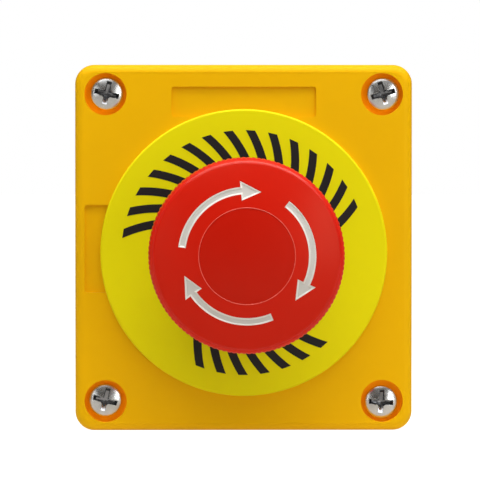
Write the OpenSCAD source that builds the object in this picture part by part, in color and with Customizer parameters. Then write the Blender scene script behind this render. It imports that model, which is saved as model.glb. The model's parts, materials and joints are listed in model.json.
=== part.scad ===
// Surface-mounted emergency stop station with a turn-to-release mushroom
// button. Frame: the origin is the centre of the rear (wall) face, +Z is up,
// the front of the box faces -Y. Every module is drawn lying down (x right,
// y up, z out of the wall) and stood up once by stand().

/* [Enclosure] */
// Width of the box, left to right
box_w = 70.5; // [70:0.5:80]
// Height of the box, bottom to top
box_h = 76.5; // [76:0.5:90]
// Depth of the box, wall face to front face
box_d = 54; // [54:1:64]
// Radius of the four corners seen from the front
corner_r = 4; // [3:0.25:5]
// Rounding along the front edge
edge_r = 1.8; // [1:0.1:2.4]
// Depth of the rear base
base_d = 26; // [25.5:0.5:27]
// Side wall of the front cover
cover_t = 3.2; // [3:0.1:3.6]
// Side wall of the rear base
base_t = 2.6; // [2.5:0.1:3]
// Front wall of the cover
face_t = 3; // [2.8:0.1:3]

/* [Fixings] */
// Distance of a cover screw from the side of the box
screw_in_x = 6.35; // [6:0.05:7]
// Distance of a cover screw from the top or bottom of the box
screw_in_y = 6.15; // [6:0.05:7]
// Diameter of a cover screw's head
screw_head_d = 6.8; // [6:0.1:7]
// Diameter of a cover screw's shank
screw_d = 3.5; // [3:0.5:3.5]
// Diameter of the counterbores in the cover
cbore_d = 8.8; // [8.2:0.1:9]
// Depth of the counterbores in the cover
cbore_depth = 3; // [2.6:0.1:6]
// Wall screw spacing, left to right
wall_pitch_x = 40; // [38:1:42]
// Wall screw spacing, bottom to top
wall_pitch_y = 52; // [50:1:54]
// Diameter of the wall screw holes
wall_hole_d = 4.4; // [3.8:0.1:5]
// Diameter of the cable entry
entry_d = 20.5; // [16.5:0.5:20.5]

/* [Operator] */
// Height of the button axis above the middle of the box
btn_y = -1; // [-2:0.5:0]
// Diameter of the legend disc
legend_d = 60; // [50:1:64]
// Thickness of the legend disc
legend_t = 1; // [0.8:0.1:1]
// Diameter of the mushroom head
head_d = 40.1; // [38:0.1:44]
// Height of the underside of the head's rim above the front face
head_low = 19.5; // [19.5:0.1:20.5]
// Height of the top of the head's dome above the front face
head_top = 31.5; // [31.5:0.1:33]
// Travel of the head when it is struck
travel = 5.5; // [4:0.1:5.5]

/* [Hidden] */
F = box_d;                       // front face
$fn = 96;
hole_r = 11.15;                  // 22.3 mm panel hole
barrel_r = 11.1;                 // threaded barrel of the operator
sx = box_w / 2 - screw_in_x;     // cover screw positions
sy = box_h / 2 - screw_in_y;
boss_r = 5.9;                    // screw pillars
tip = F + head_top;              // top of the dome
dome_sag = 3;                    // dome height over the rim
dome_r = (head_d * head_d / 4 + dome_sag * dome_sag) / (2 * dome_sag);
cap_r = 9.75;                    // centre cap of the head
block_x = 7;                     // contact block centres
zb0 = F - 46;                    // rear of the contact blocks
zb1 = F - 25.5;                  // front of the contact blocks
lug = 8;                         // half width of a latch lug, degrees
cross_turn = [-14, 16, -4, -15]; // how far each cover screw was turned

// ---- helpers -------------------------------------------------------------

module stand() { rotate([90, 0, 0]) children(); }
module at_button(z = 0) { translate([0, btn_y, z]) children(); }

// rectangle with round corners
module rr(w, h, r) {
  union() {
    square([w - 2 * r, h], center = true);
    square([w, h - 2 * r], center = true);
    for (x = [-1, 1], y = [-1, 1])
      translate([x * (w / 2 - r), y * (h / 2 - r)]) circle(r = r);
  }
}

// the outline of the box between two insets
module outline_ring(a, b) {
  difference() {
    rr(box_w - 2 * a, box_h - 2 * a, corner_r - a);
    rr(box_w - 2 * b, box_h - 2 * b, corner_r - b);
  }
}

// inside of the box, around the four screw pillars
module hollow(t) {
  difference() {
    square([box_w - 2 * t, box_h - 2 * t], center = true);
    for (x = [-1, 1], y = [-1, 1]) translate([x * sx, y * sy]) circle(r = boss_r);
  }
}

// x from 0 to d, y from 0 to f, with the far upper corner rounded
module rounded_strip(d, f) {
  union() {
    square([d - f, f]);
    translate([d - f, 0]) intersection() { circle(r = f); square([f, f]); }
  }
}

// plate of thickness f whose upper edge is rounded by f all round
module soft_plate(w, h, r, f) {
  a = w / 2 - r;
  b = h / 2 - r;
  union() {
    linear_extrude(f) square([2 * a, 2 * b], center = true);
    for (s = [0, 180]) {
      rotate([0, 0, s]) translate([a, b, 0]) rotate([90, 0, 0]) linear_extrude(2 * b) rounded_strip(r, f);
      rotate([0, 0, s]) translate([-a, b, 0]) rotate([90, 0, 90]) linear_extrude(2 * a) rounded_strip(r, f);
    }
    for (c = [[a, b, 0], [-a, b, 90], [-a, -b, 180], [a, -b, 270]])
      translate([c[0], c[1], 0]) rotate([0, 0, c[2]]) rotate_extrude(angle = 90) rounded_strip(r, f);
  }
}

module ring(ro, ri, z0, z1) {
  translate([0, 0, z0]) difference() {
    cylinder(r = ro, h = z1 - z0);
    translate([0, 0, -1]) cylinder(r = ri, h = z1 - z0 + 2);
  }
}

module block(x, y, z) { // box from [low, high] on each axis
  translate([x[0], y[0], z[0]]) cube([x[1] - x[0], y[1] - y[0], z[1] - z[0]]);
}

// coil of round wire: mean radius r, wire radius w, between two heights
module coil(r, w, z0, z1, turns, steps = 16, sides = 8, r1 = -1) { // r1: radius at the far end
  n = turns * steps;
  p = [for (i = [0 : n], k = [0 : sides - 1])
    let (a = 360 * turns * i / n, b = 360 * k / sides,
         z = z0 + w + (z1 - z0 - 2 * w) * i / n, q = r + ((r1 < 0 ? r : r1) - r) * i / n + w * cos(b))
      [q * cos(a), q * sin(a), z + w * sin(b)]];
  side = [for (i = [0 : n - 1], k = [0 : sides - 1])
    let (j = (k + 1) % sides)
      [i * sides + k, i * sides + j, (i + 1) * sides + j, (i + 1) * sides + k]];
  first = [[for (k = [sides - 1 : -1 : 0]) k]];
  last = [[for (k = [0 : sides - 1]) n * sides + k]];
  polyhedron(points = p, faces = concat(side, first, last), convexity = 10);
}

// screw with a pan head: seat at z = 0, head above, shank below
module pan_screw(head_r, head_h, shank_r, length, cross, turn = 0) {
  rim = head_h * 0.55;
  s = head_h - rim;
  R = (head_r * head_r + s * s) / (2 * s);
  difference() {
    union() {
      cylinder(r = head_r, h = rim);
      intersection() {
        translate([0, 0, head_h - R]) sphere(r = R);
        translate([0, 0, rim - 0.01]) cylinder(r = head_r, h = s + 1);
      }
      translate([0, 0, -length]) cylinder(r = shank_r, h = length + 0.01);
    }
    rotate([0, 0, turn]) for (a = [0, 90]) rotate([0, 0, a])
      translate([-cross / 2, -cross * 0.12, head_h * 0.4]) cube([cross, cross * 0.24, head_h]);
  }
}

// ---- box -----------------------------------------------------------------

module front_cover() {
  color("gold") stand() difference() {
    union() {
      translate([0, 0, base_d]) linear_extrude(F - edge_r - base_d) rr(box_w, box_h, corner_r);
      translate([0, 0, F - edge_r]) soft_plate(box_w, box_h, corner_r, edge_r);
    }
    translate([0, 0, base_d - 1]) linear_extrude(F - face_t - base_d + 1) hollow(cover_t);
    translate([0, 0, base_d - 1]) linear_extrude(4.2) outline_ring(1.2, 2.4);
    for (x = [-1, 1], y = [-1, 1]) translate([x * sx, y * sy, 0]) {
      translate([0, 0, F - cbore_depth]) cylinder(r = cbore_d / 2, h = cbore_depth + 1);
      translate([0, 0, base_d - 1]) cylinder(r = screw_d / 2 + 0.2, h = F);
    }
    at_button(F - face_t - 1) cylinder(r = hole_r, h = face_t + 2);
    // shallow label recesses, top and left
    translate([0, box_h / 2 - 7.75, F - 0.6]) linear_extrude(1) rr(30.2, 6.3, 0.6);
    translate([-box_w / 2 + 5.15, -0.2, F - 0.6]) linear_extrude(1) rr(6.3, 18.3, 0.6);
  }
}

module base_solid() {
  difference() {
    union() {
      difference() {
        union() {
          linear_extrude(base_d) rr(box_w, box_h, corner_r);
          translate([0, 0, base_d]) linear_extrude(2) outline_ring(1.3, 2.3);
        }
        translate([0, 0, 3]) linear_extrude(base_d) hollow(base_t);
      }
      for (x = [-1, 1], y = [-1, 1])
        translate([x * wall_pitch_x / 2, y * wall_pitch_y / 2, 2]) cylinder(r = 4.4, h = 2.5);
    }
    for (x = [-1, 1], y = [-1, 1]) {
      translate([x * sx, y * sy, 7]) cylinder(r = screw_d / 2, h = base_d);
      translate([x * wall_pitch_x / 2, y * wall_pitch_y / 2, -1]) cylinder(r = wall_hole_d / 2, h = 8);
    }
    // cable entry through the bottom wall
    translate([0, -box_h / 2 + base_t + 0.5, 3.35 + 10.25]) rotate([90, 0, 0]) cylinder(d = entry_d, h = base_t + 2);
  }
}

// The middle of the bottom wall, with the cable entry. It is drawn as its own
// piece so that the base stays open inside when its shape is split up.
module entry_part() { block([-14, 14], [-box_h / 2 - 1, -box_h / 2 + base_t], [3, base_d + 3]); }

module rear_base() { color("dimgray") stand() difference() { base_solid(); entry_part(); } }

module entry_wall() { color("dimgray") stand() intersection() { base_solid(); entry_part(); } }

module cover_gasket() {
  color("black") stand() translate([0, 0, base_d + 2]) linear_extrude(1.2) outline_ring(1.25, 2.35);
}

module cover_screws() {
  color("silver") stand()
    for (i = [0 : 3]) let (x = [-1, 1, 1, -1][i], y = [1, 1, -1, -1][i])
      translate([x * sx, y * sy, F - cbore_depth])
        pan_screw(screw_head_d / 2, 2.1, screw_d / 2, F - cbore_depth - 12, 3.9, cross_turn[i]);
}

// ---- fixed part of the operator --------------------------------------------

module legend_plate() {
  color("yellow") stand() at_button() ring(legend_d / 2, hole_r, F, F + legend_t);
}

module panel_gasket() {
  color("black") stand() at_button() ring(14, hole_r, F + legend_t, F + 1.8);
}

module operator_body() {
  color("#2b2b2b") stand() at_button() union() {
    difference() {
      union() {
        translate([0, 0, F - 16]) cylinder(r = barrel_r, h = 18);
        translate([0, 0, F + 1.8]) cylinder(r = 13.4, h = 1.2);
        translate([0, 0, F + 2.5]) cylinder(r = 12.2, h = 18.7);
      }
      translate([0, 0, F - 17]) cylinder(r = 9.4, h = 20.5);
      translate([0, 0, F + 3]) cylinder(r = 4.05, h = 3);
      translate([0, 0, F + 5.5]) cylinder(r = 11, h = 20);
    }
    // three ledges that the latch lugs turn under
    for (k = [0 : 2]) rotate([0, 0, 120 * k + 59]) translate([0, 0, F - 7.1])
      rotate_extrude(angle = 51) translate([7.3, 0]) square([2.6, 1.2]);
  }
}

module shaft_seal() {
  color("black") stand() at_button() ring(9.4, 4.08, F + 2, F + 3.5);
}

module bushing_retainer() {
  color("#404040") stand() at_button() ring(9.4, 4.05, F - 16, F - 13);
}

module bezel_ring() {
  color("silver") stand() at_button() translate([0, 0, F + 1.8]) rotate_extrude() difference() {
    translate([12.2, 0]) square([2.55, 2.8]);
    translate([12, -1]) square([1.4, 2.2]);
    translate([14.75, 2.8]) rotate([0, 0, 45]) square([1.1, 1.1], center = true);
  }
}

module lock_washer() {
  color("silver") stand() at_button(F - 3.8) difference() {
    cylinder(r = 14.2, h = 0.8);
    translate([0, 0, -1]) cylinder(r = hole_r, h = 3);
    for (k = [0 : 11]) rotate([0, 0, 30 * k]) translate([13.1, -0.8, -1]) cube([3, 1.6, 3]);
  }
}

module locking_nut() {
  color("#3a3a3a") stand() at_button(F - 7.8) difference() {
    cylinder(r = 15.5, h = 4, $fn = 6);
    translate([0, 0, -1]) cylinder(r = barrel_r, h = 6);
  }
}

module contact_carrier() {
  color("#303034") stand() at_button() difference() {
    union() {
      block([-15, 15], [-15.5, 15.5], [F - 16, F - 8]);
      for (s = [-1, 1]) translate([0, s * 14.1, 0]) block([-13.5, 13.5], [-1.4, 1.4], [zb1, F - 15]);
    }
    translate([0, 0, F - 17]) cylinder(r = barrel_r, h = 12);
    for (s = [-1, 1]) translate([s * 12.2, s * 14.1, F - 24]) cylinder(r = 1, h = 20);
  }
}

module carrier_screws() {
  color("silver") stand() at_button(F - 8)
    for (s = [-1, 1]) translate([s * 12.2, s * 14.1, 0]) pan_screw(2.4, 1.6, 1, 15.5, 2.6, 20 * s);
}

// ---- moving part of the operator -------------------------------------------

module spindle() {
  color("#8a8a8e") stand() at_button() difference() {
    union() {
      translate([0, 0, F - 16.7]) cylinder(r = 4, h = 40.7);
      translate([0, 0, F - 19.2]) cylinder(r = 2.5, h = 3);
      translate([0, 0, F - 1.5]) cylinder(r = 5.5, h = 1);
      translate([0, 0, F + 16.5]) cylinder(r = 10.4, h = 1.5);
    }
    translate([0, 0, F + 15]) cylinder(r = 1.6, h = 20);
  }
}

module latch_ring() {
  color("#c9c9c0") stand() at_button(F - 3.8) union() {
    ring(7, 4.05, 0, 1.9);
    for (k = [0 : 2]) rotate([0, 0, 120 * k - lug]) rotate_extrude(angle = 2 * lug)
      translate([6.5, 0]) square([2.6, 1.2]);
  }
}

module latch_clip() {
  color("silver") stand() at_button() difference() {
    ring(5.8, 4, F - 5.1, F - 4.3);
    block([-1, 1], [3, 7], [F - 6, F - 4]);
  }
}

module pusher_plate() {
  color("#d8d8d0") stand() at_button() difference() {
    union() {
      block([-11, 11], [-4.5, 4.5], [F - 19.2, F - 16.7]);
      for (s = [-1, 1]) translate([s * 11, 0, F - 19.2]) cylinder(r = 4.5, h = 2.5);
    }
    translate([0, 0, F - 20]) cylinder(r = 2.5, h = 5);
  }
}

module return_spring() {
  color("silver") stand() at_button() coil(9.3, 0.5, F + 5.55, F + 16.45, 4);
}

module twist_spring() {
  color("silver") stand() at_button() coil(5.2, 0.4, F + 18.3, F + 21.7, 3);
}

// one turn arrow: a curved bar with a pointed head, turning clockwise from
// the angle a
module arrow(a) {
  r = 13.3;
  bar = 77;   // sweep of the bar
  tip_a = 95; // sweep to the point
  union() {
    intersection() {
      difference() { circle(r = r + 0.75); circle(r = r - 0.75); }
      polygon([[0, 0], for (t = [0 : 10 : bar + 3]) 20 * [cos(a - t), sin(a - t)]]);
    }
    polygon([(r + 2) * [cos(a - bar), sin(a - bar)], r * [cos(a - tip_a), sin(a - tip_a)],
             (r - 2) * [cos(a - bar), sin(a - bar)]]);
  }
}

arrow_turn = [172.4, 52.4, -67.6];

module dome(d = 0) { translate([0, 0, tip - dome_r]) sphere(r = dome_r - d, $fn = 200); }

// band under the dome's surface where the arrows lie, between two depths
function sag(r) = dome_r - sqrt(dome_r * dome_r - r * r);
module arrow_band(up, down) {
  for (a = arrow_turn) intersection() {
    translate([0, 0, F + 26]) linear_extrude(7) arrow(a);
    rotate_extrude() polygon([[10.9, tip - sag(10.9) + up], [10.9, tip - sag(10.9) - down],
      [15.7, tip - sag(15.7) - down], [15.7, tip - sag(15.7) + up]]);
  }
}

module mushroom_cap() {
  R = head_d / 2;
  low = F + head_low;
  top = tip - dome_sag;
  color("red") stand() at_button() difference() {
    rotate_extrude() difference() {
      intersection() {
        union() {
          translate([0, low]) square([R - 1.2, 14]);
          translate([0, low + 0.8]) square([R, top - 1 - low - 0.8]);
          translate([R - 1.2, top - 1]) circle(r = 1.2);
          translate([R - 0.8, low + 0.8]) circle(r = 0.8);
        }
        translate([0, tip - dome_r]) circle(r = dome_r, $fn = 200);
      }
      // space under the head for the tower, around the hub
      translate([6, low - 1]) square([9, 9.5]);
      translate([-1, low - 1]) square([7.5, F + 22 - low + 1]);
      translate([-1, F + 21]) square([5.05, 3.2]);  // spindle end
      translate([-1, F + 20]) square([2.65, 10]);   // screw
      translate([-1, F + 27]) square([5, 5]);       // screw head
      translate([-1, F + 29.4]) square([cap_r + 1.15, 5]);
    }
    arrow_band(1, 0.5);
  }
}

module arrow_inlays() {
  color("white") stand() at_button() arrow_band(-0.2, 0.5);
}

module centre_cap() {
  color("#c01010") stand() at_button() intersection() {
    translate([0, 0, F + 29.4]) cylinder(r = cap_r, h = 5);
    dome(0.05);
  }
}

module head_screw() {
  color("silver") stand() at_button(F + 27.3) pan_screw(2.9, 1.8, 1.6, 10, 3.2, 10);
}

// ---- contact blocks ----------------------------------------------------------
// inner height of the fixed contacts: above the bridge in the normally closed
// block, below it in the normally open block

module strip(s, inner) { // one contact strip, at the end s of the block
  rotate([90, 0, 90]) translate([0, 0, -3.5]) linear_extrude(7) scale([s, 1]) union() {
    translate([9, F - 40]) square([5.8, 1.2]);
    translate([9, F - 40]) square([1.2, inner - F + 41.2]);
    translate([5, inner]) square([5.2, 1.2]);
  }
}

module housing(inner) {
  difference() {
    block([-6.5, 6.5], [-15.5, 15.5], [zb0, zb1]);
    block([-4.4, 4.4], [-9, 9], [zb0 - 1, F - 29.3]);
    cylinder(r = 2.55, h = F);
    for (s = [-1, 1]) {
      translate([0, s * 13.2, 0]) block([-4.5, 4.5], [-3, 3], [zb0 - 1, F - 40]);
      strip(s, inner);
      translate([0, s * 12.6, F - 41]) cylinder(r = 1.54, h = 6.2);
    }
  }
}

module strips(inner, up) {
  for (s = [-1, 1]) difference() {
    union() {
      strip(s, inner);
      translate([0, s * 6.6, up ? inner + 1.2 : inner - 0.4]) cylinder(r = 1.3, h = up ? 0.2 : 0.4);
    }
    translate([0, s * 12.6, F - 41]) cylinder(r = 1.5, h = 4);
  }
}

module nc_housing() { color("firebrick") stand() at_button() translate([-block_x, 0, 0]) housing(F - 34); }
module no_housing() { color("seagreen") stand() at_button() translate([block_x, 0, 0]) housing(F - 40); }

module block_caps() {
  color("#303034") stand() at_button() for (s = [-1, 1]) translate([s * block_x, 0, 0])
    block([-4.4, 4.4], [-9, 9], [zb0, zb0 + 2]);
}

module nc_terminals() { color("goldenrod") stand() at_button() translate([-block_x, 0, 0]) strips(F - 34, false); }
module no_terminals() { color("goldenrod") stand() at_button() translate([block_x, 0, 0]) strips(F - 40, true); }

module terminal_screws() {
  color("silver") stand() at_button() for (s = [-1, 1], t = [-1, 1])
    translate([s * block_x, t * 12.6, F - 40.8]) rotate([180, 0, 0]) pan_screw(2.25, 2.2, 1.5, 5.4, 2.6, 25);
}

module wire_clamps() {
  color("silver") stand() at_button() for (s = [-1, 1], t = [-1, 1])
    translate([s * block_x, t * 12.6, 0]) difference() {
      block([-3.5, 3.5], [-2.2, 2.2], [F - 40.8, F - 40]);
      translate([0, 0, F - 42]) cylinder(r = 1.5, h = 4);
    }
}

module plunger(bar_z, win0, win1) { // lower bar, then the bridge's window
  union() {
    translate([0, 0, F - 30]) cylinder(r = 2.5, h = 10.5);
    block([-4.1, 4.1], [-3.5, 3.5], [win1, F - 29.6]);
    for (s = [-1, 1]) translate([s * 3.55, 0, 0]) block([-0.55, 0.55], [-3.5, 3.5], [bar_z, win1 + 0.5]);
    block([-4.1, 4.1], [-3.5, 3.5], [bar_z, win0]);
  }
}

module bridge(rivet0, rivet1) {
  union() {
    block([-2.7, 2.7], [-8, 8], [F - 35.6, F - 34.8]);
    for (s = [-1, 1]) translate([0, s * 6.6, rivet0]) cylinder(r = 1.3, h = rivet1 - rivet0);
  }
}

module nc_plunger() { color("#e8e4d8") stand() at_button() translate([-block_x, 0, 0]) plunger(F - 37.5, F - 36.3, F - 34.5); }
module no_plunger() { color("#e8e4d8") stand() at_button() translate([block_x, 0, 0]) plunger(F - 37.1, F - 35.9, F - 31.2); }
module nc_bridge() { color("peru") stand() at_button() translate([-block_x, 0, 0]) bridge(F - 35, F - 34.42); }
module no_bridge() { color("peru") stand() at_button() translate([block_x, 0, 0]) bridge(F - 36, F - 35); }
module nc_spring() { color("silver") stand() at_button() translate([-block_x, 0, 0]) coil(3.6, 0.3, F - 43.9, F - 37.6, 3, 16, 8, 1.5); }
module no_spring() { color("silver") stand() at_button() translate([block_x, 0, 0]) coil(3.6, 0.3, F - 43.9, F - 37.2, 3, 16, 8, 1.5); }
module no_contact_spring() { color("silver") stand() at_button() translate([block_x, 0, 0]) coil(1.75, 0.2, F - 34.75, F - 31.25, 3, 12, 6, 0.5); }

front_cover();
rear_base();
entry_wall();
cover_gasket();
cover_screws();
legend_plate();
panel_gasket();
operator_body();
shaft_seal();
bushing_retainer();
bezel_ring();
lock_washer();
locking_nut();
contact_carrier();
carrier_screws();
spindle();
latch_ring();
latch_clip();
pusher_plate();
return_spring();
twist_spring();
mushroom_cap();
arrow_inlays();
centre_cap();
head_screw();
nc_housing();
no_housing();
block_caps();
nc_terminals();
no_terminals();
terminal_screws();
wire_clamps();
nc_plunger();
no_plunger();
nc_bridge();
no_bridge();
nc_spring();
no_spring();
no_contact_spring();
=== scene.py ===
import json
import math
import bmesh
import bpy
import numpy as np
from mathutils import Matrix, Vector


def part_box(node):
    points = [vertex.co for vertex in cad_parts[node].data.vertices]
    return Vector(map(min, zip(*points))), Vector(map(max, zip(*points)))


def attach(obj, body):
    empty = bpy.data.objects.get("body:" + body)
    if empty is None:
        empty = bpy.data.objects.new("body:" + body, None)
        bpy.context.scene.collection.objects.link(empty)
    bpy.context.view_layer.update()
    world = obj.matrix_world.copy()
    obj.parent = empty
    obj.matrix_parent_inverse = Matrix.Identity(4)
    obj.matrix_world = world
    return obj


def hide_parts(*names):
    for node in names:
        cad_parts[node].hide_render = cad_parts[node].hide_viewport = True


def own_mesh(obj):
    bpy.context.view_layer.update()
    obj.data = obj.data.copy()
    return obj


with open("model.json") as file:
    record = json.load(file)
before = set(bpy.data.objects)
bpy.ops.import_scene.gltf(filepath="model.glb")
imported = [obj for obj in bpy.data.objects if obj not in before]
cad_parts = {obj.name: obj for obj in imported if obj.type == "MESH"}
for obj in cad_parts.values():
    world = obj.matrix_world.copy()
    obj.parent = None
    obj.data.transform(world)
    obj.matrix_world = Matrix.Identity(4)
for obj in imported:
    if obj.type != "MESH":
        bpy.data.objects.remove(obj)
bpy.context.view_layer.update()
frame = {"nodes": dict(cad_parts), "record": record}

N = frame["nodes"]
MM = 0.001


# ---------------------------------------------------------------------------
# sizes, all read from the CAD boxes, in millimetres from the wall
def mm_box(node):
    lo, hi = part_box(node)
    return [c / MM for c in lo], [c / MM for c in hi]


cov_lo, cov_hi = mm_box("front_cover")
FACE = -cov_lo[1]                       # front face height over the wall
cap_lo, cap_hi = mm_box("mushroom_cap")
HX = (cap_lo[0] + cap_hi[0]) / 2        # button axis
HZ = (cap_lo[2] + cap_hi[2]) / 2
HEAD_R = (cap_hi[0] - cap_lo[0]) / 2
LOW = -cap_hi[1]                        # underside of the head's rim
cen_lo, cen_hi = mm_box("centre_cap")
CAP_R = (cen_hi[0] - cen_lo[0]) / 2
DOME_R = (HEAD_R ** 2 + 9) / 6
TIP = -cen_lo[1] + 0.05                 # where the dome's surface would peak
leg_lo, leg_hi = mm_box("legend_plate")
LEG_TOP = -leg_lo[1]
LEG_R = (leg_hi[0] - leg_lo[0]) / 2


def W(x, y, h):
    """x right, y up (both from the box's middle), h out of the wall, in mm, to the row frame in metres."""
    return (x * MM, -h * MM, y * MM)


def sag(r):
    return DOME_R - math.sqrt(DOME_R ** 2 - r * r)


# ---------------------------------------------------------------------------
# mesh helpers
def new_object(name, verts, faces, smooth=None):
    me = bpy.data.meshes.new(name)
    me.from_pydata(verts, [], faces)
    me.validate()
    ob = bpy.data.objects.new(name, me)
    bpy.context.scene.collection.objects.link(ob)
    bm = bmesh.new()
    bm.from_mesh(me)
    bmesh.ops.recalc_face_normals(bm, faces=bm.faces)
    bm.to_mesh(me)
    bm.free()
    if smooth is not None:
        shade(ob, smooth)
    return ob


def shade(ob, angle):
    me = ob.data
    me.polygons.foreach_set("use_smooth", [True] * len(me.polygons))
    me.set_sharp_from_angle(angle=math.radians(angle))
    me.update()


def lathe(name, profile, n, cx, cy, teeth=None, smooth=35):
    """Closed profile of (r, h, tooth weight) turned round the axis at (cx, cy)."""
    verts, faces = [], []
    m = len(profile)
    for k in range(n):
        a = 2 * math.pi * k / n
        t = teeth(a) if teeth else 0.0
        for p in profile:
            r = p[0] - (t * p[2] if len(p) > 2 else 0.0)
            verts.append(W(cx + r * math.cos(a), cy + r * math.sin(a), p[1]))
    for k in range(n):
        q = (k + 1) % n
        for i in range(m):
            j = (i + 1) % m
            faces.append((k * m + i, k * m + j, q * m + j, q * m + i))
    return new_object(name, verts, faces, smooth)


def arc(cx, cy, r, a0, a1, n, w=0.0):
    return [(cx + r * math.cos(math.radians(a0 + (a1 - a0) * i / n)),
             cy + r * math.sin(math.radians(a0 + (a1 - a0) * i / n)), w) for i in range(n + 1)]


def apply_all(ob):
    dg = bpy.context.evaluated_depsgraph_get()
    dg.update()
    me = bpy.data.meshes.new_from_object(ob.evaluated_get(dg))
    old = ob.data
    ob.modifiers.clear()
    ob.data = me
    bpy.data.meshes.remove(old)
    return ob


def cut(ob, cutter):
    m = ob.modifiers.new("cut", "BOOLEAN")
    m.operation = "DIFFERENCE"
    m.solver = "EXACT"
    m.object = cutter
    bpy.context.view_layer.update()
    apply_all(ob)
    bpy.data.objects.remove(cutter)
    return ob


def soften(ob, width, angle=35, segments=3, planar=True):
    """Small real rounding on the edges of a carried-over CAD node."""
    w = ob.modifiers.new("weld", "WELD")
    w.merge_threshold = 2e-6
    if planar:
        d = ob.modifiers.new("planar", "DECIMATE")
        d.decimate_type = "DISSOLVE"
        d.angle_limit = math.radians(0.4)
    b = ob.modifiers.new("edge", "BEVEL")
    b.width = width * MM
    b.segments = segments
    b.limit_method = "ANGLE"
    b.angle_limit = math.radians(angle)
    b.harden_normals = True
    b.use_clamp_overlap = True
    return ob


# ---------------------------------------------------------------------------
# materials
def srgb(r, g, b):
    def f(c):
        c /= 255
        return c / 12.92 if c <= 0.04045 else ((c + 0.055) / 1.055) ** 2.4
    return (f(r), f(g), f(b), 1.0)


def scaled(c, k):
    return (c[0] * k, c[1] * k, c[2] * k, 1.0)


class Mat:
    def __init__(self, name):
        self.m = bpy.data.materials.new(name)
        self.m.use_nodes = True
        self.t = self.m.node_tree
        self.t.nodes.clear()
        self.out = self.add("ShaderNodeOutputMaterial")
        self.bsdf = self.add("ShaderNodeBsdfPrincipled")
        self.link(self.bsdf.outputs[0], self.out.inputs[0])
        self.coord = self.add("ShaderNodeTexCoord").outputs["Object"]

    def add(self, kind):
        return self.t.nodes.new(kind)

    def link(self, a, b):
        self.t.links.new(a, b)

    def noise(self, scale, detail=2.0, rough=0.5, coord=None):
        n = self.add("ShaderNodeTexNoise")
        n.inputs["Scale"].default_value = scale
        n.inputs["Detail"].default_value = detail
        n.inputs["Roughness"].default_value = rough
        self.link(coord or self.coord, n.inputs["Vector"])
        return n.outputs["Fac"]

    def ramp(self, fac, lo, hi, a, b):
        n = self.add("ShaderNodeMapRange")
        n.inputs["From Min"].default_value = lo
        n.inputs["From Max"].default_value = hi
        n.inputs["To Min"].default_value = a
        n.inputs["To Max"].default_value = b
        self.link(fac, n.inputs["Value"])
        return n.outputs["Result"]

    def math(self, op, a, b=None, c=None):
        n = self.add("ShaderNodeMath")
        n.operation = op
        for i, v in enumerate((a, b, c)):
            if v is None:
                continue
            if isinstance(v, (int, float)):
                n.inputs[i].default_value = v
            else:
                self.link(v, n.inputs[i])
        return n.outputs[0]

    def mix(self, fac, a, b):
        n = self.add("ShaderNodeMix")
        n.data_type = "RGBA"
        for s, v in ((n.inputs[0], fac), (n.inputs[6], a), (n.inputs[7], b)):
            if isinstance(v, (int, float)):
                s.default_value = v
            elif isinstance(v, tuple):
                s.default_value = v
            else:
                self.link(v, s)
        return n.outputs[2]

    def bump(self, height, strength, distance, normal=None):
        n = self.add("ShaderNodeBump")
        n.inputs["Strength"].default_value = strength
        n.inputs["Distance"].default_value = distance
        self.link(height, n.inputs["Height"])
        if normal is not None:
            self.link(normal, n.inputs["Normal"])
        return n.outputs[0]

    def set(self, name, v):
        s = self.bsdf.inputs[name]
        if isinstance(v, (int, float, tuple)):
            s.default_value = v
        else:
            self.link(v, s)


def plastic(name, base, rough=0.35, grain=2600, grain_h=0.010, mottled=0.05, specular=0.5, coat=0.0,
            orange_peel=0.0, dust=0.0, tint=None):
    """Moulded plastic: faint flow mottling, spark-eroded grain, uneven gloss."""
    m = Mat(name)
    flow = m.noise(45, 3, 0.55)
    fine = m.noise(grain, 2, 0.6)
    col = m.mix(m.ramp(flow, 0.1, 0.9, 0.0, 1.0), scaled(base, 1 - mottled), scaled(base, 1 + mottled * 0.5))
    if dust:
        specks = m.ramp(m.noise(900, 2, 0.5), 0.74, 0.80, 0.0, dust)
        col = m.mix(specks, col, (0.35, 0.3, 0.25, 1.0))
    m.set("Base Color", col)
    m.set("Roughness", m.ramp(m.noise(120, 4, 0.6), 0.1, 0.9, rough - 0.06, rough + 0.08))
    m.set("Specular IOR Level", specular)
    if tint:
        m.set("Specular Tint", tint)
    if coat:
        m.set("Coat Weight", coat)
        m.set("Coat Roughness", 0.12)
    n = m.bump(fine, 0.35, grain_h * MM)
    if orange_peel:
        n = m.bump(m.noise(320, 1, 0.4), 0.4, orange_peel * MM, n)
    m.set("Normal", n)
    return m


def metal(name, base, rough=0.28, streak=True, dark=0.55):
    """Plated metal: clouded plating, fine drawn streaks, dull spots."""
    m = Mat(name)
    cloud = m.noise(420, 4, 0.6)
    m.set("Base Color", m.mix(m.ramp(cloud, 0.3, 0.7, 0.0, 1.0), scaled(base, dark), base))
    m.set("Metallic", 1.0)
    m.set("Roughness", m.ramp(m.noise(800, 4, 0.65), 0.25, 0.75, rough - 0.05, rough + 0.08))
    n = m.bump(m.noise(2600, 3, 0.6), 0.2, 0.003 * MM)
    if streak:
        mp = m.add("ShaderNodeMapping")
        mp.inputs["Scale"].default_value = (1.0, 12.0, 1.0)
        m.link(m.coord, mp.inputs["Vector"])
        n = m.bump(m.noise(900, 2, 0.5, mp.outputs[0]), 0.15, 0.002 * MM, n)
    m.set("Normal", n)
    return m


def paint(ob, *mats):
    me = ob.data
    keep = [p.material_index for p in me.polygons]      # clearing the slots would reset them
    me.materials.clear()
    for m in mats:
        me.materials.append(m.m)
    if len(mats) > 1:
        me.polygons.foreach_set("material_index", keep)


YELLOW = srgb(246, 188, 0)
LEGEND = srgb(243, 232, 9)
RED = srgb(214, 26, 8)

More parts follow.
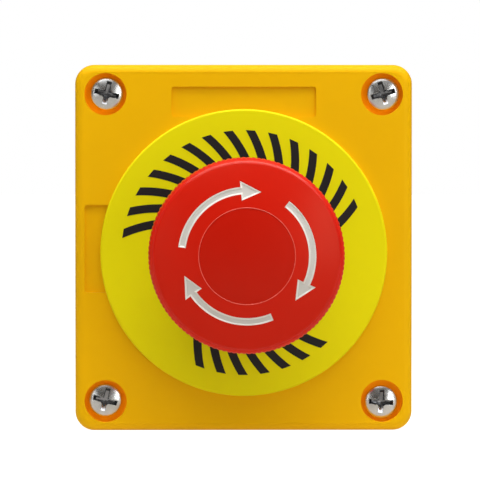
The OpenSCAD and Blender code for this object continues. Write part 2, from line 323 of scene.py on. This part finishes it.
# the cover: the plain plastic; in the screw wells a deeper orange and a faint orange glow are painted in, standing
# for the light that bounces round in them
m_yellow = plastic("yellow_cover", YELLOW, rough=0.45, grain=3000, grain_h=0.012, mottled=0.03, specular=0.24, orange_peel=0.004,
                   tint=(1.0, 0.85, 0.35, 1.0))
xyz = m_yellow.add("ShaderNodeSeparateXYZ")
m_yellow.link(m_yellow.coord, xyz.inputs[0])
scr0, scr1 = mm_box("cover_screws")
wx, wz = ((scr1[0] - scr0[0]) / 2 - 3.4) * MM, ((scr1[2] - scr0[2]) / 2 - 3.4) * MM
dx = m_yellow.math("SUBTRACT", m_yellow.math("ABSOLUTE", xyz.outputs[0]), wx)
dz = m_yellow.math("SUBTRACT", m_yellow.math("ABSOLUTE", xyz.outputs[2]), wz)
rr = m_yellow.math("SQRT", m_yellow.math("ADD", m_yellow.math("MULTIPLY", dx, dx), m_yellow.math("MULTIPLY", dz, dz)))
# mask of the screw wells, where bounce light and a glow are painted into the colour
near = m_yellow.ramp(rr, 4.9 * MM, 4.5 * MM, 0.0, 1.0)
deep = m_yellow.ramp(xyz.outputs[1], -(FACE - 0.15) * MM, -(FACE - 0.5) * MM, 0.0, 1.0)
painted_well_glow = m_yellow.math("MULTIPLY", near, deep)
plain = m_yellow.bsdf.inputs["Base Color"].links[0].from_socket
# painted bounce light: the wells turn deep orange and glow faintly, by position alone
m_yellow.set("Base Color", m_yellow.mix(painted_well_glow, plain, (1.0, 0.46, 0.0, 1.0)))
m_yellow.set("Emission Color", (1.0, 0.25, 0.0, 1.0))
m_yellow.set("Emission Strength", m_yellow.math("MULTIPLY", painted_well_glow, 0.10))
m_base = plastic("base_grey", srgb(58, 60, 63), rough=0.55, grain=2200, grain_h=0.02, mottled=0.1)
m_black = plastic("black_plastic", srgb(34, 34, 36), rough=0.45, grain=2600, grain_h=0.015, mottled=0.12)
m_legend = plastic("legend_yellow", LEGEND, rough=0.42, grain=3400, grain_h=0.004, mottled=0.03, specular=0.22, tint=(1.0, 0.9, 0.4, 1.0))
m_red = plastic("red_plastic", scaled(RED, 0.96), rough=0.3, grain=3000, grain_h=0.008, mottled=0.04, specular=0.32, orange_peel=0.003,
                tint=(1.0, 0.55, 0.36, 1.0))
# the centre cap is the head's red made darker, painted shade for the darker surround its flat face reflects
m_cap_painted_shade = plastic("red_cap_painted_shade", scaled(RED, 0.84), rough=0.3, grain=3000, grain_h=0.006, mottled=0.04, specular=0.3, orange_peel=0.003,
                tint=(1.0, 0.55, 0.36, 1.0))
m_edge = plastic("red_edge", srgb(216, 28, 10), rough=0.2, grain=3000, grain_h=0.003, mottled=0.08, specular=0.4,
                 tint=(1.0, 0.8, 0.7, 1.0))
# the serrated side of the rim is the head's red made lighter, painted light for the light it catches
m_ribs_painted_light = plastic("red_ribs_painted_light", srgb(226, 30, 14), rough=0.42, grain=3000, grain_h=0.008, mottled=0.05, specular=0.3,
                 tint=(1.0, 0.62, 0.30, 1.0))
# the joint bead is a pale pink red, a painted highlight line
m_bead_painted_highlight = plastic("bead_painted_highlight", srgb(236, 92, 76), rough=0.25, grain=3000, grain_h=0.006, mottled=0.1, specular=0.5)
m_white = plastic("white_paint", srgb(212, 209, 203), rough=0.5, grain=1800, grain_h=0.02, mottled=0.06, specular=0.3)
# the two whites are lit and shaded copies of one paint: lighter on the arrow rims as painted highlight, darker on the
# floors as painted shade
m_rim_painted_highlight = plastic("white_rim_painted_highlight", srgb(236, 232, 224), rough=0.45, grain=1800, grain_h=0.01, mottled=0.04, specular=0.35)
m_print = plastic("black_print", srgb(26, 22, 24), rough=0.5, grain=2500, grain_h=0.004, mottled=0.15, specular=0.3)
m_rubber = plastic("rubber", srgb(24, 24, 25), rough=0.75, grain=1500, grain_h=0.03, mottled=0.2, specular=0.3)
m_ivory = plastic("ivory", srgb(226, 220, 200), rough=0.45, grain=2200, grain_h=0.012)
m_spindle = plastic("spindle_plastic", srgb(150, 150, 152), rough=0.4, grain=2200, grain_h=0.012)
m_nc = plastic("contact_red", srgb(150, 40, 30), rough=0.45, grain=2200, grain_h=0.015)
m_no = plastic("contact_green", srgb(40, 120, 70), rough=0.45, grain=2200, grain_h=0.015)
m_zinc = metal("zinc_plate", srgb(214, 215, 214), rough=0.2, dark=0.78)
# the cross recesses are a darker copy of the zinc, painted shade inside them
m_recess_painted_shade = metal("zinc_recess_painted_shade", srgb(160, 162, 166), rough=0.18, dark=0.45)
m_chrome = metal("satin_chrome", srgb(225, 225, 226), rough=0.2)
m_steel = metal("spring_steel", srgb(190, 190, 192), rough=0.25)
m_brass = metal("contact_brass", srgb(214, 176, 96), rough=0.3)

BY_SLOT = {"yellow_cover": m_yellow, "base_plastic": m_base, "rubber_black": m_rubber, "zinc_steel": m_zinc,
           "legend_yellow": m_legend, "black_plastic": m_black, "bright_metal": m_chrome,
           "spindle_plastic": m_spindle, "spring_steel": m_steel, "ivory_plastic": m_ivory,
           "red_plastic": m_red, "white_paint": m_white, "nc_red": m_nc, "no_green": m_no,
           "contact_brass": m_brass}
slot_of = {s["node"]: s["material_slot"] for s in frame["record"]["subparts"]}
for n, ob in N.items():
    paint(ob, BY_SLOT[slot_of[n]])

# ---------------------------------------------------------------------------
# carried-over CAD nodes: small real rounding on their edges
if "entry_wall" in N:
    src = [N["rear_base"], N["entry_wall"]]
    copies = []
    for o in src:
        c = bpy.data.objects.new(o.name + "_copy", o.data.copy())
        bpy.context.scene.collection.objects.link(c)
        c.matrix_world = o.matrix_world
        copies.append(c)
    shell, part = copies
    bm = bmesh.new()
    bm.from_mesh(part.data)
    mid = sum((v.co.z for v in bm.verts), 0.0) / len(bm.verts)
    ends = max(abs(v.co.x) for v in bm.verts)
    for v in bm.verts:                          # a hair of overlap, so that the union closes the joint
        if abs(abs(v.co.x) - ends) < 1e-6:
            v.co.x += math.copysign(2e-6, v.co.x)
        if v.co.y > -3.001 * MM:
            v.co.y += 2e-6
    bm.to_mesh(part.data)
    bm.free()
    u = shell.modifiers.new("join", "BOOLEAN")
    u.operation = "UNION"
    u.solver = "EXACT"
    u.object = part
    bpy.context.view_layer.update()
    apply_all(shell)
    bpy.data.objects.remove(part)
    shell.name = "rear_shell"
    soften(shell, 0.25)
    paint(shell, m_base)
    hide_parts("rear_base", "entry_wall")
    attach(shell, "housing")

for n, w in (("front_cover", 0.34), ("rear_base", 0.25), ("legend_plate", 0.48), ("operator_body", 0.25),
             ("bezel_ring", 0.2), ("panel_gasket", 0.1), ("contact_carrier", 0.3), ("locking_nut", 0.3),
             ("nc_housing", 0.2), ("no_housing", 0.2), ("pusher_plate", 0.2), ("spindle", 0.2)):
    soften(N[n], w)

# ---------------------------------------------------------------------------
# mushroom head: dome, serrated tapering rim, hollow underside with its hub
TEETH = 120


def tooth(a):
    return 0.14 * (1 - abs(math.sin(a * TEETH / 2)))


top_r = HEAD_R - 0.06
pro = []
pro += [(1.65, TIP - 4.5), (4.0, TIP - 4.5), (4.0, TIP - 2.1)]
pro += [(CAP_R + 0.05, TIP - 2.1), (CAP_R + 0.05, TIP - sag(CAP_R + 0.05) - 0.06)]
pro += [(CAP_R + 0.12, TIP - sag(CAP_R + 0.12))]
fr = 2.1
dome_end = top_r - fr * (1 - math.cos(math.radians(64)))
r0 = CAP_R + 0.4
for i in range(17):
    r = r0 + (dome_end - 0.15 - r0) * i / 16
    pro.append((r, TIP - sag(r)))
fh = TIP - sag(dome_end) - fr * math.sin(math.radians(64))
pro.append((dome_end, TIP - sag(dome_end)))
pro += [(p[0], p[1], w) for p, w in zip(arc(top_r - fr, fh, fr, 61, 3, 14), (0, 0, 0, 0, 0.0, 0.0, 0.1, 0.2, 0.35, 0.5, 0.62, 0.75, 0.86, 0.94, 1.0))]
side_top = fh
side_low = LOW + 1.0
for i in range(1, 4):
    t = i / 3
    pro.append((top_r + (HEAD_R - top_r) * t, side_top + (side_low - side_top) * t, 1.0))
pro += [(p[0], p[1], w) for p, w in zip(arc(HEAD_R - 0.8, LOW + 0.8, 0.8, -12, -90, 5), (0.9, 0.7, 0.4, 0.15, 0, 0))]
hollow = 15.0
pro += [(hollow + 0.5, LOW), (hollow + 0.15, LOW + 0.15), (hollow, LOW + 0.5), (hollow, LOW + 7.9), (hollow - 0.18, LOW + 8.32),
        (hollow - 0.6, LOW + 8.5), (6.6, LOW + 8.5), (6.18, LOW + 8.32), (6.0, LOW + 7.9), (6.0, FACE + 22.3),
        (5.7, FACE + 22), (4.05, FACE + 22), (4.05, FACE + 24.2), (1.65, FACE + 24.2)]
head = lathe("mushroom_head", pro, TEETH * 8, HX, HZ, tooth, smooth=32)


def outline(a, grow=0.0):
    """One turn arrow seen from the front, as points round it, moved outward by grow."""
    r, half, barb = 13.3, 0.75, 2.0
    pts = []

    def pol(rad, deg):
        return (rad * math.cos(math.radians(deg)), rad * math.sin(math.radians(deg)))

    def line(p, q, n):
        return [(p[0] + (q[0] - p[0]) * i / n, p[1] + (q[1] - p[1]) * i / n) for i in range(n)]
    pts += [pol(r + half, a - 77 * i / 26) for i in range(27)]
    pts += line(pol(r + barb, a - 77), pol(r, a - 95), 5)
    pts += line(pol(r, a - 95), pol(r - barb, a - 77), 5) + [pol(r - barb, a - 77)]
    pts += [pol(r - half, a - 77 + 77 * i / 26) for i in range(27)]
    if not grow:
        return pts
    out = []
    n = len(pts)
    for i in range(n):
        p, q, s = Vector(pts[i - 1]), Vector(pts[i]), Vector(pts[(i + 1) % n])
        d1, d2 = (q - p).normalized(), (s - q).normalized()
        n1, n2 = Vector((-d1.y, d1.x)), Vector((-d2.y, d2.x))
        k = 1 + n1.dot(n2)
        v = (n1 + n2) / max(k, 0.35)
        out.append((q.x + v.x * grow, q.y + v.y * grow))
    return out


def ring_solid(name, rings, smooth, rim=None):
    """Closed solid from loops of points (x, y, h), the first and the last capped."""
    n = len(rings[0])
    verts = [W(HX + p[0], HZ + p[1], p[2]) for ring in rings for p in ring]
    faces = []
    for k in range(len(rings) - 1):
        for i in range(n):
            j = (i + 1) % n
            faces.append((k * n + i, k * n + j, (k + 1) * n + j, (k + 1) * n + i))
    me_faces = faces + [tuple(range(n - 1, -1, -1)), tuple(range((len(rings) - 1) * n, len(rings) * n))]
    ob = new_object(name, verts, me_faces, None)
    bm = bmesh.new()
    bm.from_mesh(ob.data)
    if rim:
        for f in bm.faces:
            if len(f.verts) == 4 and min(v.index for v in f.verts) >= rim * n:
                f.material_index = 1
    bmesh.ops.triangulate(bm, faces=[f for f in bm.faces if len(f.verts) > 4])
    bmesh.ops.recalc_face_normals(bm, faces=bm.faces)
    bm.to_mesh(ob.data)
    bm.free()
    shade(ob, smooth)
    return ob


def lift(pts, down):
    return [(x, y, TIP - sag(math.hypot(x, y)) - down) for x, y in pts]


sign = 1.0
test = outline(172.4)
area = sum(test[i - 1][0] * test[i][1] - test[i][0] * test[i - 1][1] for i in range(len(test)))
sign = -1.0 if area > 0 else 1.0       # so that a positive growth is outward

trays = []
for k, a in enumerate((172.4, 52.4, -67.6)):
    wall = outline(a, sign * 0.03)
    cutter = ring_solid("cutter", [lift(wall, 0.5), [(x, y, TIP + 1) for x, y in wall]], 30)
    cut(head, cutter)
    o0, o1, o2 = outline(a), outline(a, -sign * 0.09), outline(a, -sign * 0.35)
    trays.append(ring_solid(f"tray{k}", [lift(o0, 0.45), lift(o0, 0.02), lift(o1, 0.02), lift(o2, 0.28)], 30, rim=1))
shade(head, 32)
paint(head, m_red, m_edge, m_ribs_painted_light)
# the side band takes the lighter red, which is painted light; the top of its fillet takes the glossier edge red
for f in head.data.polygons:
    q = math.hypot(f.center[0] / MM - HX, f.center[2] / MM - HZ)
    h = -f.center[1] / MM
    if h > side_low - 1 and q > dome_end - 0.02:
        f.material_index = 1 if q < dome_end + 0.42 and h > fh + 0.5 else 2
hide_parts("mushroom_cap")
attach(head, "head")


def join(obs, name):
    bm = bmesh.new()
    for o in obs:
        bm.from_mesh(o.data)
    me = bpy.data.meshes.new(name)
    bm.to_mesh(me)
    bm.free()
    for o in obs:
        bpy.data.objects.remove(o)
    ob = bpy.data.objects.new(name, me)
    bpy.context.scene.collection.objects.link(ob)
    return ob


arrows = join(trays, "turn_arrows")
shade(arrows, 30)
# rims and slopes take the lighter white, painted highlight; floors and outer walls take the darker white, painted
# shade
paint(arrows, m_white, m_rim_painted_highlight)
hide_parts("arrow_inlays")
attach(arrows, "head")

# centre cap with its own small rounded edge
cpro = [(0.001, TIP - 2.1), (CAP_R, TIP - 2.1), (CAP_R, TIP - sag(CAP_R) - 0.13)]
cpro += [(p[0], p[1]) for p in arc(CAP_R - 0.1, TIP - sag(CAP_R) - 0.13, 0.1, 15, 82, 4)]
for i in range(12):
    r = (CAP_R - 0.3) * (1 - i / 12)
    cpro.append((max(r, 0.001), TIP - 0.055 - sag(r)))
cpro.append((0.001, TIP - 0.055))
cap = lathe("head_centre_cap", cpro, 192, HX, HZ, None, smooth=30)
paint(cap, m_cap_painted_shade)
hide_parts("centre_cap")
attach(cap, "head")

# the thin polished bead along the joint between head and cap, in a pale pink red that paints the bright line along
# the joint as a painted highlight
bead = lathe("cap_joint_bead", arc(CAP_R + 0.06, TIP - sag(CAP_R + 0.06) - 0.035, 0.085, 0, 315, 7), 240, HX, HZ, None, smooth=60)
paint(bead, m_bead_painted_highlight)
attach(bead, "head")

# ---------------------------------------------------------------------------
# cover screws: pan head with a cross recess, drawn shank
scr_lo, scr_hi = mm_box("cover_screws")


def taper_box(name, top, low, cx, cy, h0, h1, turn, shift=0.0):
    """Four-sided cutter: half sizes at the top (h0) and at the bottom (h1), turned about the screw."""
    c, s = math.cos(math.radians(turn)), math.sin(math.radians(turn))
    verts = []
    for (a, b), h, m in ((low, h1, shift), (top, h0, 0.0)):
        for x, y in ((m - a, -b), (m + a, -b), (m + a, b), (m - a, b)):
            verts.append(W(cx + x * c - y * s, cy + x * s + y * c, h))
    faces = [(0, 1, 2, 3), (4, 5, 6, 7), (0, 1, 5, 4), (1, 2, 6, 5), (2, 3, 7, 6), (3, 0, 4, 7)]
    return new_object(name, verts, faces)


def screw(k, cx, cy, head_top, head_r, turn):
    H = 2.1
    seat = head_top - H
    prof = [(0.001, scr_len), (1.35, scr_len), (1.75, scr_len + 1.2)]
    prof += [(1.75, seat - 0.25), (1.9, seat), (head_r - 0.1, seat), (head_r, seat + 0.1), (head_r, seat + 1.3)]
    prof += [(p[0], p[1]) for p in arc(head_r - 0.24, seat + 1.3, 0.24, 10, 66, 5)]
    r1 = prof[-1][0]
    h1 = prof[-1][1]
    for i in range(1, 7):
        t = i / 6
        prof.append((max(r1 * (1 - t), 0.001), h1 + (head_top - h1) * math.sin(t * math.pi / 2)))
    ob = lathe(f"screw{k}", prof, 72, cx, cy, None, smooth=28)
    d = 1.9
    for t, a, m in ((0, 1.95, 0.0), (90, 1.3, 0.7)):
        cut(ob, taper_box("w", (2.75, 0.56), (a, 0.36), cx, cy, head_top + 0.2, head_top - d, turn + t, m))
    cut(ob, taper_box("c", (1.05, 1.05), (0.45, 0.45), cx, cy, head_top + 0.2, head_top - d - 0.1, turn + 45))
    b = ob.modifiers.new("edge", "BEVEL")
    b.width = 0.06 * MM
    b.segments = 2
    b.limit_method = "ANGLE"
    b.angle_limit = math.radians(32)
    bpy.context.view_layer.update()
    apply_all(ob)
    shade(ob, 35)
    for f in ob.data.polygons:
        q = math.hypot(f.center[0] / MM - cx, f.center[2] / MM - cy)
        crown = h1 + (head_top - h1) * math.sin(max(1 - q / r1, 0) * math.pi / 2)
        # faces inside the cross recess take the darker zinc, which is painted shade
        if q < 2.9 and seat < -f.center[1] / MM < crown - 0.04:
            f.material_index = 1
    return ob


scr_len = -scr_hi[1]
head_r = 3.4
sxm = (scr_hi[0] - scr_lo[0]) / 2 - head_r
szm = (scr_hi[2] - scr_lo[2]) / 2 - head_r
scx, scz = (scr_hi[0] + scr_lo[0]) / 2, (scr_hi[2] + scr_lo[2]) / 2
screws = [screw(k, scx + x * sxm + ox, scz + y * szm + oy, -scr_lo[1], head_r, t)
          for k, (x, y, t, ox, oy) in enumerate(((-1, 1, -14, 0.25, 0.12), (1, 1, 16, 0.3, 0.08),
                                                 (1, -1, -4, -0.08, -0.3), (-1, -1, -15, -0.1, 0.12)))]
screws = join(screws, "cover_screw_set")
shade(screws, 35)
paint(screws, m_zinc, m_recess_painted_shade)
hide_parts("cover_screws")
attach(screws, "housing")

# ---------------------------------------------------------------------------
# legend marks: plain slanted bars printed round the disc, in place of its wording
verts, faces = [], []


def bar(mid, half, r_in, r_out, slant):
    """One printed bar, as a thin raised strip of ink that follows the ring."""
    n = 6
    base = len(verts)
    for k in (0, 1):
        h = LEG_TOP - 0.02 + 0.045 * k
        for i in range(n + 1):
            t = i / n
            r = r_in + (r_out - r_in) * t
            a = math.radians(mid + slant * (t - 0.5))
            w = half / r
            for s in (-1, 1):
                verts.append(W(HX + r * math.cos(a + s * w), HZ + r * math.sin(a + s * w), h))
    m = 2 * (n + 1)
    for i in range(n):
        a, b = base + 2 * i, base + m + 2 * i
        faces.append((b, b + 1, b + 3, b + 2))
        faces.append((a, a + 1, a + 3, a + 2))
        faces.append((a, a + 2, b + 2, b))
        faces.append((a + 1, a + 3, b + 3, b + 1))
    a, b = base, base + m
    faces.append((a, a + 1, b + 1, b))
    a, b = base + 2 * n, base + m + 2 * n
    faces.append((a, a + 1, b + 1, b))


for i in range(15):
    bar(166.5 - i * (147.0 / 14), 0.98, 19.3, 25.6, 9)
for i in range(7):
    bar(-115.5 + i * (62.0 / 6), 0.98, 19.3, 25.6, 9)
marks = new_object("legend_marks", verts, faces, 30)
paint(marks, m_print)
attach(marks, "housing")

# ---------------------------------------------------------------------------
# springs: smooth round wire in place of the plain coils
def spring(name, node, turns, wire, body, joint=None, squared=True, centre=None, radii=None):
    lo, hi = mm_box(node)
    cx, cy = centre or ((lo[0] + hi[0]) / 2, (lo[2] + hi[2]) / 2)
    ra, rb = radii or ((hi[0] - lo[0]) / 2 - wire, (hi[0] - lo[0]) / 2 - wire)
    h0, h1 = -hi[1] + wire, -lo[1] - wire
    steps, sides = 40, 12
    n = int(turns * steps)
    vs, fs = [], []
    for i in range(n + 1):
        t = i / n
        e = 1.0 / turns * 0.7
        u = min(max((t - e * 0.6) / (1 - 1.2 * e), 0), 1) if squared else t
        u = u * 0.92 + t * 0.08
        r = ra + (rb - ra) * t
        a = 2 * math.pi * turns * t
        for k in range(sides):
            b = 2 * math.pi * k / sides
            q = r + wire * math.cos(b)
            vs.append(W(cx + q * math.cos(a), cy + q * math.sin(a), h0 + (h1 - h0) * u + wire * math.sin(b)))
    for i in range(n):
        for k in range(sides):
            j = (k + 1) % sides
            fs.append((i * sides + k, i * sides + j, (i + 1) * sides + j, (i + 1) * sides + k))
    fs.append(tuple(range(sides)))
    fs.append(tuple(range(n * sides, (n + 1) * sides)))
    ob = new_object(name, vs, fs, 50)
    paint(ob, m_steel)
    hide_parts(node)
    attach(ob, body)
    if joint:
        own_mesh(ob)
    return ob


spring("coil_return", "return_spring", 5, 0.5, "housing", "press")
spring("coil_twist", "twist_spring", 3, 0.4, "spindle_slide", squared=False)
for side in ("nc", "no"):
    a, b = mm_box(side + "_plunger")
    spring("coil_" + side, side + "_spring", 3, 0.3, "housing", "press",
           squared=False,
           centre=((a[0] + b[0]) / 2, (a[2] + b[2]) / 2), radii=(3.6, 1.5))
a, b = mm_box("no_plunger")
spring("coil_no_contact", "no_contact_spring", 3, 0.2, "no_plunger_slide", "press",
       squared=False,
       centre=((a[0] + b[0]) / 2, (a[2] + b[2]) / 2), radii=(1.75, 0.5))

# ---------------------------------------------------------------------------
# studio
floor_z = cov_lo[2] * MM
bpy.ops.mesh.primitive_plane_add(size=8, location=(0, 0, floor_z - 0.00005))
floor = bpy.context.object
floor.name = "floor"
fm = Mat("floor_white")
fm.set("Base Color", (0.54, 0.51, 0.46, 1))
fm.set("Roughness", 0.8)
fm.set("Emission Color", (1, 1, 1, 1))
flp = fm.add("ShaderNodeLightPath")
fxyz = fm.add("ShaderNodeSeparateXYZ")     # a lighter band just in front of the box, as white card gives
fm.link(fm.coord, fxyz.inputs[0])
band = fm.math("MULTIPLY", fm.ramp(fxyz.outputs[1], -0.085, -0.052, 0.0, 1.0),
               fm.ramp(fm.math("ABSOLUTE", fxyz.outputs[0]), 0.06, 0.04, 0.0, 1.0))
glow = fm.math("ADD", fm.math("MULTIPLY", band, 0.24), 0.07)
fm.set("Emission Strength", fm.math("MAXIMUM", glow, flp.outputs["Is Camera Ray"]))
fmx = fm.add("ShaderNodeMixShader")       # seen from below the floor is clear, so the underside can be looked at
fm.link(fm.add("ShaderNodeNewGeometry").outputs["Backfacing"], fmx.inputs[0])
fm.link(fm.bsdf.outputs[0], fmx.inputs[1])
fm.link(fm.add("ShaderNodeBsdfTransparent").outputs[0], fmx.inputs[2])
fm.link(fmx.outputs[0], fm.out.inputs[0])
paint(floor, fm)

world = bpy.data.worlds.new("studio")
bpy.context.scene.world = world
world.use_nodes = True
wt = world.node_tree
wt.nodes.clear()
wo = wt.nodes.new("ShaderNodeOutputWorld")
b1 = wt.nodes.new("ShaderNodeBackground")
wc = wt.nodes.new("ShaderNodeTexCoord")
ws = wt.nodes.new("ShaderNodeSeparateXYZ")
wm = wt.nodes.new("ShaderNodeMapRange")
wm.inputs["From Min"].default_value, wm.inputs["From Max"].default_value = -0.4, 0.9
wm.inputs["To Min"].default_value, wm.inputs["To Max"].default_value = 0.03, 0.24
wt.links.new(wc.outputs["Generated"], ws.inputs[0])
wt.links.new(ws.outputs["Z"], wm.inputs["Value"])
# reflections fall off to the left and below, as with black flags
wx2 = wt.nodes.new("ShaderNodeMapRange")
wx2.inputs["From Min"].default_value, wx2.inputs["From Max"].default_value = -0.3, 0.75
wx2.inputs["To Min"].default_value, wx2.inputs["To Max"].default_value = 0.1, 1.8
wu = wt.nodes.new("ShaderNodeMath")
wu.operation = "MULTIPLY_ADD"
wu.inputs[1].default_value = 0.5
wt.links.new(ws.outputs["X"], wu.inputs[0])
wt.links.new(ws.outputs["Z"], wu.inputs[2])
wt.links.new(wu.outputs[0], wx2.inputs["Value"])
wp = wt.nodes.new("ShaderNodeLightPath")
wg = wt.nodes.new("ShaderNodeMix")
wt.links.new(wp.outputs["Is Glossy Ray"], wg.inputs[0])
wg.inputs[2].default_value = 1.0
wt.links.new(wx2.outputs["Result"], wg.inputs[3])
wk = wt.nodes.new("ShaderNodeMath")
wk.operation = "MULTIPLY"
wt.links.new(wm.outputs["Result"], wk.inputs[0])
wt.links.new(wg.outputs[0], wk.inputs[1])
wt.links.new(wk.outputs[0], b1.inputs[1])
wh = wt.nodes.new("ShaderNodeMapRange")
wh.inputs["From Min"].default_value, wh.inputs["From Max"].default_value = -0.3, 0.6
wt.links.new(ws.outputs["Z"], wh.inputs["Value"])
wq = wt.nodes.new("ShaderNodeMix")
wq.data_type = "RGBA"
wt.links.new(wh.outputs["Result"], wq.inputs[0])
wq.inputs[6].default_value = (1.0, 0.74, 0.48, 1)
wq.inputs[7].default_value = (1.0, 1.0, 1.0, 1)
wt.links.new(wq.outputs[2], b1.inputs[0])
b2 = wt.nodes.new("ShaderNodeBackground")
b2.inputs[0].default_value = (1, 1, 1, 1)
b2.inputs[1].default_value = 1.0
lp = wt.nodes.new("ShaderNodeLightPath")
mx = wt.nodes.new("ShaderNodeMixShader")
wt.links.new(lp.outputs["Is Camera Ray"], mx.inputs[0])
wt.links.new(b1.outputs[0], mx.inputs[1])
wt.links.new(b2.outputs[0], mx.inputs[2])
wt.links.new(mx.outputs[0], wo.inputs[0])


def area_light(name, loc, target, sx, sy, power):
    d = bpy.data.lights.new(name, "AREA")
    d.shape = "RECTANGLE"
    d.size, d.size_y = sx, sy
    d.energy = power
    o = bpy.data.objects.new(name, d)
    bpy.context.scene.collection.objects.link(o)
    o.location = loc
    o.rotation_euler = (Vector(target) - Vector(loc)).to_track_quat("-Z", "Y").to_euler()
    return o


area_light("key_above", (0.11, -0.34, 0.40), (0, -0.05, 0), 0.8, 0.26, 1.18)
area_light("fill_left", (-0.9, -0.30, 0.1), (0, -0.03, 0), 0.4, 0.8, 0.45)
area_light("overhead", (0.0, -0.17, 0.52), (0, -0.04, 0), 0.8, 0.22, 2.8)
area_light("fill_right", (0.9, -0.8, 0.25), (0, -0.05, 0), 0.5, 0.8, 0.6)
area_light("strip_right", (0.50, -0.93, 0.08), (0, -0.08, 0), 0.14, 0.6, 1.5)
area_light("strip_left", (-0.50, -0.93, 0.05), (0, -0.08, 0), 0.12, 0.6, 0.45)

cd = bpy.data.cameras.new("camera")
cam = bpy.data.objects.new("camera", cd)
bpy.context.scene.collection.objects.link(cam)
bpy.context.scene.camera = cam
DIST = 950.0
cd.sensor_width = 36.0
cd.lens = 18.0 * DIST / (240.0 / 4.785)
cd.clip_start, cd.clip_end = 0.05, 20
cam.location = W(-20.5, HZ + 23.5, FACE + DIST)
aim = Vector(W(-0.8, 1.62, FACE))
cam.rotation_euler = (aim - Vector(cam.location)).to_track_quat("-Z", "Y").to_euler()

sc = bpy.context.scene
sc.view_settings.view_transform = "Standard"
sc.view_settings.look = "None"
sc.view_settings.exposure = 0.0
